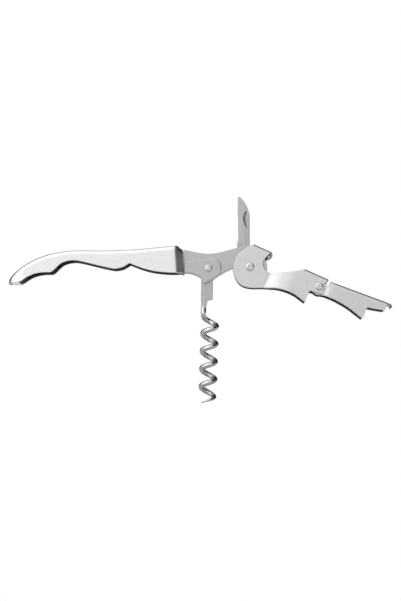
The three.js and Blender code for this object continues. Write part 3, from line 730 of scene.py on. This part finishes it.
def blade_shape(uv):
    """The blade thins to its edge, and a nail nick is ground into its near face."""
    x, z = uv.T
    fade = np.clip((x - EDGE_X) / EDGE_FADE, 0, 1)
    grind = 1 - (1 - EDGE_LEFT) * (1 - fade) * smoothstep(z, 11.8, 14.2)
    half = BLADE_HALF * grind
    zs = np.array([p[1] for p in NICK])
    left = np.interp(z, zs, [p[0] for p in NICK])
    share = (x - left) / np.maximum(NICK_X - left, 1e-6)
    scoop = np.clip(np.minimum(np.minimum(share * 1.6, 0.45 + share * 0.55), (1.02 - share) / 0.12), 0, 1)
    span = np.clip(np.minimum(z - zs[0], zs[-1] - z) / 0.9, 0, 1)
    sunk = np.where((z > zs[0]) & (z < zs[-1]), NICK_DEPTH * scoop * span, 0.0)
    a = np.stack([x, -half + sunk, z], 1)
    b = np.stack([x, half, z], 1)
    return a, b


def blade():
    small = 0.05

    def shape(uv):
        a, b = blade_shape(uv)
        out = []
        for k, sign in ((0, 1), (1, -1)):
            dx = blade_shape(uv + [small, 0])[k] - blade_shape(uv - [small, 0])[k]
            dz = blade_shape(uv + [0, small])[k] - blade_shape(uv - [0, small])[k]
            normal = np.cross(dx, dz) * sign
            out.append(normal / np.maximum(np.linalg.norm(normal, axis=1, keepdims=True), 1e-12))
        return a, b, out[0], out[1]
    return slab([blade_outline(), hole(BLADE_FLAT, BLADE_PIN)], shape, grid=0.26, longest=0.4, edge=0.06)


# ---- worm ----

WIRE, HELIX_RADIUS, PITCH, TURNS, HELIX_TOP = 1.25, 3.1, 8.2, 4.96, -19.65
AXIS_X, HELIX_LEAN, COIL_SKEW = 1.37, 1.8, 0.115
TANG_HALF, TANG_EYE = 1.0, 2.65


def worm_tang():
    side = ([(TANG_EYE, -0.5)] + arc((0, 0), TANG_EYE, 0, 180)
            + [(-3.4, -5.5), (-3.5, -14.5), (-3.45, -17.2), (-3.1, -18.2), (-1.3, -18.2)]
            + curve([(-1.1, -17.5), (-0.9, -16.8), (-0.7, -15.6), (-0.2, -14.8), (0.8, -14.4)])
            + [(1.9, -14.35), (2.05, -5.6)])
    return slab([side, hole((0, 0), WORM_PIN)], flat_shape(-TANG_HALF, TANG_HALF), longest=2, edge=0.2)


def worm_wire(around=28):
    """The round wire: straight out of the tang, bent into the helix, and drawn out to a point."""
    slope = math.atan2(PITCH, 2 * math.pi * HELIX_RADIUS)
    stations = [(0.0, -13.6, 0.8), (0.0, -15.4, 0.88), (0.0, -16.6, 0.97), (0.0, -17.6, 1.14),
                (0.0, -18.6, WIRE)]
    angle, z = 0.0, HELIX_TOP
    stations.append((angle, z, WIRE))
    bend_steps, bend_length = 18, 4.2
    for i in range(bend_steps):
        dive = math.pi / 2 + (slope - math.pi / 2) * smoothstep((i + 0.5) / bend_steps, 0, 1)
        angle += bend_length / bend_steps * math.cos(dive) / HELIX_RADIUS
        z -= bend_length / bend_steps * math.sin(dive)
        stations.append((angle, z, WIRE))
    sweep, steps = TURNS * 2 * math.pi - angle, 380
    for i in range(1, steps + 1):
        turn = sweep * i / steps
        left = (sweep - turn) / (1.3 * math.pi)
        radius = WIRE * max(min(1, left) ** 0.8, 0.06)
        stations.append((angle + turn, z - PITCH * turn / (2 * math.pi), radius))
    lean = math.tan(math.radians(HELIX_LEAN))
    path = np.array([(AXIS_X + lean * z - HELIX_RADIUS * math.cos(a), HELIX_RADIUS * math.sin(a),
                      z - COIL_SKEW * HELIX_RADIUS * (1 - math.cos(a))) for a, z, _ in stations])
    tangent = np.gradient(path, axis=0)
    tangent /= np.linalg.norm(tangent, axis=1, keepdims=True)
    coords, normals, faces = [], [], []
    for p, t, (a, _, radius) in zip(path, tangent, stations):
        out = np.array([-math.cos(a), math.sin(a), 0.0])
        out -= t * (out @ t)
        out /= np.linalg.norm(out)
        across = np.cross(t, out)
        for k in range(around):
            turn = 2 * math.pi * k / around
            normal = out * math.cos(turn) + across * math.sin(turn)
            coords.append(p + normal * radius)
            normals.append(normal)
    for i in range(len(path) - 1):
        for k in range(around):
            a, b = i * around + k, i * around + (k + 1) % around
            faces.append([a, b, b + around, a + around])
    last = (len(path) - 1) * around
    coords += [path[0], path[-1] + tangent[-1] * 0.05]
    normals += [-tangent[0], tangent[-1]]
    for k in range(around):
        j = (k + 1) % around
        faces.append([len(coords) - 2, j, k])
        faces.append([len(coords) - 1, last + k, last + j])
    return np.array(coords), faces, np.array(normals)


# ---- lever, upper step ----

UPPER_WALL, UPPER_BEND, UPPER_WEB_V = 1.0, 1.5, 3.0
UPPER_TOP, UPPER_WEB_TOP = 10.5, 9.4
UPPER_WIDTHS = [(-12, HEAD_OUTER), (9.0, HEAD_OUTER), (9.9, HEAD_OUTER), (10.4, 4.08), (11.2, 4.38),
                (12.5, 4.86), (14.4, 5.38), (16.6, 5.78), (18.7, 6.05), (20.8, 6.21), (22.9, UPPER_HALF),
                (26, UPPER_HALF), (60, UPPER_HALF)]
HEAD_ARC = [(-2.8, UPPER_TOP), (-5.1, 7.4), (-7.1, 3.9), (-7.65, 0.8), (-6.9, -3.4), (-4.9, -6.6),
            (-2.2, -8.75), (0.8, -9.45), (4.2, -8.8), (7.6, -7.3), (11.0, -5.8), (14.8, -4.3), (17.1, -3.75),
            (19.4, -3.4), (21.9, -3.3), (24.6, -3.5), (28.9, -4.5)]
OPENING = [(6.5, UPPER_TOP), (5.6, 8.8), (4.8, 6.4), (4.7, 4.6), (5.8, 2.7), (7.5, 1.5), (9.6, 1.2),
           (12.0, 2.2), (18.0, 5.6), (22.0, 8.1), (23.8, UPPER_WEB_TOP)]


def upper_top(x):
    return UPPER_TOP + (UPPER_WEB_TOP - UPPER_TOP) * smoothstep(x, 8, 20)


def upper_half(x):
    return along(UPPER_WIDTHS, x)


def upper_uv(path):
    return [(x, channel_reach(x, z, upper_top, UPPER_BEND, UPPER_WEB_V)) for x, z in path]


def to_upper(point):
    dx, dz = point[0] - LEVER_AT[0], point[2] - LEVER_AT[2]
    c, s = math.cos(math.radians(UPPER_TILT)), math.sin(math.radians(UPPER_TILT))
    return dx * c - dz * s, dx * s + dz * c


def lever_upper():
    rest_and_end = [(29.6, -4.6), (29.8, -4.0), (29.7, 1.1), (35.8, 1.8), (35.3, 5.2), (34.7, 7.6),
                    (35.6, UPPER_WEB_TOP - 0.8), (35.7, UPPER_WEB_TOP)]
    outer = upper_uv(curve(HEAD_ARC) + rest_and_end)
    opening = upper_uv(curve(OPENING))
    pins = (((0, 0), LEVER_PIN), (to_upper(HINGE_AT), HINGE_PIN))
    pin_holes = [[(u, sign * v) for u, v in upper_uv(hole(at, pin))] for at, pin in pins for sign in (-1, 1)]
    surface = channel_point(upper_half, upper_top, UPPER_BEND, UPPER_WEB_V)
    loops = [mirrored(outer), mirrored(opening), *pin_holes]
    return slab(loops, bent_shape(surface, UPPER_WALL), grid=0.6, edge=0.26)


def opener_lip():
    """The lip that grips a bottle cap, bent down and back from the end of the head web."""
    middle = curve([(4.6, 10.0), (5.7, 10.0), (6.45, 9.75), (6.85, 9.1), (6.65, 8.3), (6.1, 7.4), (5.2, 6.5)],
                   0.2)
    return ribbon(middle, 0.95, 2.75)


def ribbon(middle, thick, half):
    """A bent strip of even thickness, from its side-view middle line, with rounded edges."""
    line = np.array(middle)
    steps = np.concatenate([[0], np.cumsum(np.linalg.norm(np.diff(line, axis=0), axis=1))])
    direction = np.gradient(line, axis=0)
    direction /= np.linalg.norm(direction, axis=1, keepdims=True)
    normal = np.stack([-direction[:, 1], direction[:, 0]], 1)

    def shape(uv):
        u, v = uv.T
        at = np.stack([np.interp(u, steps, line[:, k]) for k in (0, 1)], 1)
        n = np.stack([np.interp(u, steps, normal[:, k]) for k in (0, 1)], 1)
        n /= np.linalg.norm(n, axis=1, keepdims=True)
        a, b = at + n * thick / 2, at - n * thick / 2
        n3 = np.stack([n[:, 0], np.zeros(len(u)), n[:, 1]], 1)
        return np.stack([a[:, 0], v, a[:, 1]], 1), np.stack([b[:, 0], v, b[:, 1]], 1), n3, -n3
    end, cut = float(steps[-1]), 0.5
    loop = [(0, -half), (end - cut, -half), (end, -half + cut)]
    loop += [(u, -v) for u, v in reversed(loop)]
    return slab([loop], shape, grid=0.35, longest=0.35, edge=0.2)


# ---- lever, lower step ----

LOWER_WALL, LOWER_BEND, LOWER_WEB_V = 0.9, 1.6, 2.6
LOWER_TOP, LOWER_START, LUG_RADIUS = 4.2, 4.12, 3.75
LOWER_WIDTHS = [(-8, LUG_HALF), (3.0, LUG_HALF), (3.4, LUG_HALF + 0.03), (4.2, 5.2), (5.0, 5.35), (6.0, 5.45),
                (8.0, 5.55), (10.0, LOWER_HALF), (14.0, LOWER_HALF), (40, LOWER_HALF)]


def lower_top(x):
    return np.full(np.shape(x), LOWER_TOP)


def lower_half(x):
    return along(LOWER_WIDTHS, x)


def lower_uv(path):
    return [(x, channel_reach(x, z, lower_top, LOWER_BEND, LOWER_WEB_V)) for x, z in path]


def lever_lower():
    path = ([(LOWER_START, LOWER_TOP), (LOWER_START, 1.6)] + arc((0, 0), 3.05, 35, 170)
            + arc((0, 0), LUG_RADIUS, 195, 298)
            + curve([(3.6, -3.0), (6.6, -3.05), (9.1, -3.2), (11.7, -3.6), (14.3, -4.05), (17.0, -4.7),
                     (19.7, -5.6), (22.8, -6.6)])
            + [(23.5, -6.75), (23.7, -6.1), (23.9, -1.25)]
            + curve([(23.9, -1.25), (26.8, -0.8), (30.1, -0.15), (31.2, 0.0)])
            + [(32.0, 0.4), (32.2, 3.1), (32.2, LOWER_TOP)])
    surface = channel_point(lower_half, lower_top, LOWER_BEND, LOWER_WEB_V)
    hinge_holes = [[(u, sign * v) for u, v in lower_uv(hole((0, 0), HINGE_PIN))] for sign in (-1, 1)]
    loops = [mirrored(lower_uv(path)), *hinge_holes]
    return slab(loops, bent_shape(surface, LOWER_WALL), grid=0.6, edge=0.24)


def lever_tongue():
    """The web runs on past the cheeks and turns down at its end."""
    middle = curve([(30.0, 3.76), (31.6, 3.76), (33.2, 3.76), (33.95, 3.6), (34.22, 3.1), (34.1, 2.5)], 0.2)
    return ribbon(middle, 0.86, 3.9)


# ---- rivets ----

HEAD_SINK, HEAD_RIM, DIMPLE_SHARE = 0.02, 0.03, 0.42


def domed_rivet(at, shank, face, radius, height, dimple):
    """A shank with a domed head on each face. dimple is how far each head's middle is sunk."""
    head = [(shank, face - HEAD_SINK), (radius * 0.97, face - HEAD_SINK), (radius, face + HEAD_RIM)]
    for k in range(1, 13):
        turn = math.radians(90 * k / 12)
        r = radius * math.cos(turn)
        sunk = dimple * math.exp(-(r / (DIMPLE_SHARE * radius)) ** 4)
        head.append((r, face + HEAD_RIM + (height - HEAD_RIM) * math.sin(turn) - sunk))
    profile = [(r, -y) for r, y in reversed(head)] + head
    return lathe(profile, at)


# ---- assembly ----

def at_worm(solid):
    return placed(solid, WORM_AT)


# Name, place, pin radius, face under the head, head radius, head height, dimple, body.
RIVETS = (
    ("worm_rivet", WORM_AT, WORM_PIN, BOLSTER_FACE, 1.75, 0.55, 0.0, "frame"),
    ("lever_rivet", LEVER_AT, LEVER_PIN, HEAD_OUTER, 2.0, 0.6, 0.18, "frame"),
    ("hinge_rivet", HINGE_AT, HINGE_PIN, UPPER_HALF, 1.9, 0.6, 0.18, "lever_upper"),
)


def build_object():
    shell = at_worm(joined(handle_shell(), nose_floor()))
    piece("handle_sheet", *shell, "frame", HANDLE_STEEL, "handle", "handle_shell")
    for side, sign in (("near", -1), ("far", 1)):
        plate = at_worm(frame_plate(sign * FRAME_FACE, sign * FRAME_GAP))
        piece(f"frame_cheek_{side}", *plate, "frame", FRAME_STEEL, "frame", f"frame_plate_{side}")
        cheek = at_worm(bolster(sign * BOLSTER_FACE, sign * FRAME_FACE))
        piece(f"bolster_cheek_{side}", *cheek, "frame", FRAME_STEEL, "frame", f"bolster_{side}")
    piece("foil_blade", *at_worm(blade()), "blade", BLADE_STEEL, "blade", "blade")
    piece("worm_shank", *at_worm(worm_tang()), "worm", TANG_STEEL, "worm", "worm")
    piece("worm_wire", *at_worm(worm_wire()), "worm", WORM_STEEL, "worm", "worm")
    for name, build, finish in (
        ("lever_step_upper", lever_upper, UPPER_STEEL), ("opener_lip", opener_lip, SHADED_LIP_STEEL),
    ):
        piece(name, *placed(build(), LEVER_AT, UPPER_TILT), "lever_upper", finish, "lever", "lever_upper")
    for name, build, finish in (
        ("lever_step_lower", lever_lower, LOWER_STEEL), ("lever_tongue", lever_tongue, SHADED_LIP_STEEL),
    ):
        piece(name, *placed(build(), HINGE_AT, LOWER_TILT), "lever_lower", finish, "lever", "lever_lower")
    for name, at, pin, face, radius, height, dimple, body in RIVETS:
        domes = domed_rivet(at, pin, face, radius, height, dimple)
        piece(f"{name}_domes", *domes, body, RIVET_STEEL, "rivet", name)
    for name, node in frame["nodes"].items():
        finish = WASHER_STEEL if "washer" in name or "spacer" in name else RIVET_STEEL
        if not node.hide_render:
            node.data.materials.clear()
            node.data.materials.append(finish)


# ---- stage ----

# Studio brightness by direction: from and to along one axis, then the value at each. RIGHT runs along a
# slanted axis, x and a share of y. The last three pairs are dark screens, whose two shares are multiplied.
LEFT = (-0.5, 0.0, 1.6, 1.0)
RIGHT_SLANT = 0.35
RIGHT = (0.42, 0.78, 1.0, 0.04)
BELOW = (-0.9, 0.0, 0.3, 1.0)
ABOVE = (0.1, 0.9, 1.0, 1.3)
BEHIND = ((0.35, 0.85, 0.0, 0.9), (0.0, 0.2, 0.0, 1.0))
LEFT_BEHIND = ((-0.35, -0.05, 1.0, 0.0), (-0.05, 0.3, 0.0, 0.9))
TABLE_EDGE = ((-0.5, -0.32, 0.0, 0.75), (-0.22, -0.08, 1.0, 0.0))


def follow_camera(target, path, index):
    """Turns a value with the camera's heading, as if the object stood on a turntable in a fixed studio."""
    driver = target.driver_add(path, index).driver
    driver.type = "AVERAGE"
    heading = driver.variables.new()
    heading.type = "TRANSFORMS"
    heading.targets[0].id = bpy.context.scene.camera
    heading.targets[0].transform_type = "ROT_Z"
    heading.targets[0].transform_space = "WORLD_SPACE"


def build_world():
    """A soft studio that turns with the camera, bright at the left and dark at the right, with dark screens.

    The camera itself sees plain white.
    """
    world = bpy.data.worlds.new("studio")
    bpy.context.scene.world = world
    world.use_nodes = True
    tree = world.node_tree
    tree.nodes.clear()
    where = tree.nodes.new("ShaderNodeTexCoord")
    heading = tree.nodes.new("ShaderNodeMapping")
    heading.vector_type = "TEXTURE"
    follow_camera(heading.inputs["Rotation"], "default_value", 2)
    tree.links.new(where.outputs["Generated"], heading.inputs["Vector"])
    x, y, z = split(tree, heading.outputs["Vector"])

    slanted = maths(tree, "ADD", x, maths(tree, "MULTIPLY", maths(tree, "ADD", y, 1.0), RIGHT_SLANT))
    light = ramp(tree, x, *LEFT, "SMOOTHSTEP")
    for source, limits in ((slanted, RIGHT), (z, BELOW), (z, ABOVE)):
        light = maths(tree, "MULTIPLY", light, ramp(tree, source, *limits, "SMOOTHSTEP"))
    for (one, other), (first, second) in (((y, z), BEHIND), ((x, y), LEFT_BEHIND), ((z, z), TABLE_EDGE)):
        one_share = ramp(tree, one, *first, "SMOOTHSTEP")
        screen = maths(tree, "MULTIPLY", one_share, ramp(tree, other, *second, "SMOOTHSTEP"))
        light = maths(tree, "MULTIPLY", light, maths(tree, "SUBTRACT", 1.0, screen))

    studio = tree.nodes.new("ShaderNodeBackground")
    plain = tree.nodes.new("ShaderNodeBackground")
    for shown in (studio, plain):
        shown.inputs["Color"].default_value = (1, 1, 1, 1)
    tree.links.new(light, studio.inputs["Strength"])
    path = tree.nodes.new("ShaderNodeLightPath")
    mix = tree.nodes.new("ShaderNodeMixShader")
    tree.links.new(path.outputs["Is Camera Ray"], mix.inputs["Fac"])
    tree.links.new(studio.outputs["Background"], mix.inputs[1])
    tree.links.new(plain.outputs["Background"], mix.inputs[2])
    out = tree.nodes.new("ShaderNodeOutputWorld")
    tree.links.new(mix.outputs["Shader"], out.inputs["Surface"])


# In the metal's reflections the floor is darker near the object, as a painted shadow: its value there and
# farther off, and the distances between which it changes. Everything else sees the farther value everywhere.
FLOOR_NEAR, FLOOR_FAR = 0.45, 0.86
FLOOR_FADE = (0.10, 0.30)
FLOOR_REACH, FLOOR_DROP = 3.0, 0.0005


def build_floor():
    """A pale floor under the worm's point. Seen from below it isn't there."""
    mesh = bpy.data.meshes.new("floor")
    r = FLOOR_REACH
    mesh.from_pydata([(-r, -r, 0), (r, -r, 0), (r, r, 0), (-r, r, 0)], [], [(0, 1, 2, 3)])
    floor = bpy.data.objects.new("floor", mesh)
    bpy.context.scene.collection.objects.link(floor)
    floor.location.z = cad_box[0].z - FLOOR_DROP
    material = bpy.data.materials.new("floor_paint")
    material.use_nodes = True
    tree = material.node_tree
    paint = tree.nodes["Principled BSDF"]
    paint.inputs["Roughness"].default_value = 0.9
    clear = tree.nodes.new("ShaderNodeBsdfTransparent")
    facing = tree.nodes.new("ShaderNodeNewGeometry")
    away = tree.nodes.new("ShaderNodeVectorMath")
    away.operation = "LENGTH"
    tree.links.new(facing.outputs["Position"], away.inputs[0])
    # Glossy rays see the floor darker near the object: a painted shadow under it.
    reflected_floor_shadow = ramp(tree, away.outputs["Value"], *FLOOR_FADE, FLOOR_NEAR, FLOOR_FAR, "SMOOTHSTEP")
    path = tree.nodes.new("ShaderNodeLightPath")
    value = tree.nodes.new("ShaderNodeMix")
    value.inputs[2].default_value = FLOOR_FAR
    tree.links.new(path.outputs["Is Glossy Ray"], value.inputs[0])
    tree.links.new(reflected_floor_shadow, value.inputs[3])
    tree.links.new(value.outputs[0], paint.inputs["Base Color"])
    mix = tree.nodes.new("ShaderNodeMixShader")
    tree.links.new(facing.outputs["Backfacing"], mix.inputs["Fac"])
    tree.links.new(paint.outputs["BSDF"], mix.inputs[1])
    tree.links.new(clear.outputs["BSDF"], mix.inputs[2])
    tree.links.new(mix.outputs["Shader"], tree.nodes["Material Output"].inputs["Surface"])
    mesh.materials.append(material)


def area_light(name, at, aim, size, power):
    """A soft lamp that the metal doesn't mirror."""
    data = bpy.data.lights.new(name, "AREA")
    data.shape = "RECTANGLE"
    data.size, data.size_y = size
    data.energy = power
    lamp = bpy.data.objects.new(name, data)
    lamp.location = at
    lamp.rotation_euler = (Vector(aim) - Vector(at)).to_track_quat("-Z", "Y").to_euler()
    lamp.visible_glossy = False
    bpy.context.scene.collection.objects.link(lamp)


# Camera: direction in degrees, distance, the point it looks at from the worm's pivot, and the lens.
CAMERA_AZIMUTH, CAMERA_ELEVATION, CAMERA_DISTANCE = 1.2, -5.15, 780.0
CAMERA_AIM = (-3.736, 0, -14.65)
LENS, SENSOR = 100.4, 36


def build_camera():
    """The photograph's viewing angle: a long lens a little below the object, looking slightly up."""
    azimuth, elevation = math.radians(CAMERA_AZIMUTH), math.radians(CAMERA_ELEVATION)
    aim = WORM_AT + CAMERA_AIM
    back = np.array([math.sin(azimuth) * math.cos(elevation), -math.cos(azimuth) * math.cos(elevation),
                     math.sin(elevation)])
    data = bpy.data.cameras.new("camera")
    data.lens = LENS
    data.sensor_width = SENSOR
    data.clip_start = 0.01
    camera = bpy.data.objects.new("camera", data)
    camera.location = Vector((aim + back * CAMERA_DISTANCE) * MM)
    camera.rotation_euler = Vector(-back).to_track_quat("-Z", "Y").to_euler()
    bpy.context.scene.collection.objects.link(camera)
    bpy.context.scene.camera = camera


build_object()
build_camera()
build_world()
build_floor()
area_light("key", (-0.5, -0.9, 0.9), (0, 0, 0.05), (0.7, 0.7), 6)
area_light("top", (0.1, 0.1, 1.2), (0, 0, 0.05), (1.0, 1.0), 5)
bpy.context.scene.view_settings.view_transform = "Standard"
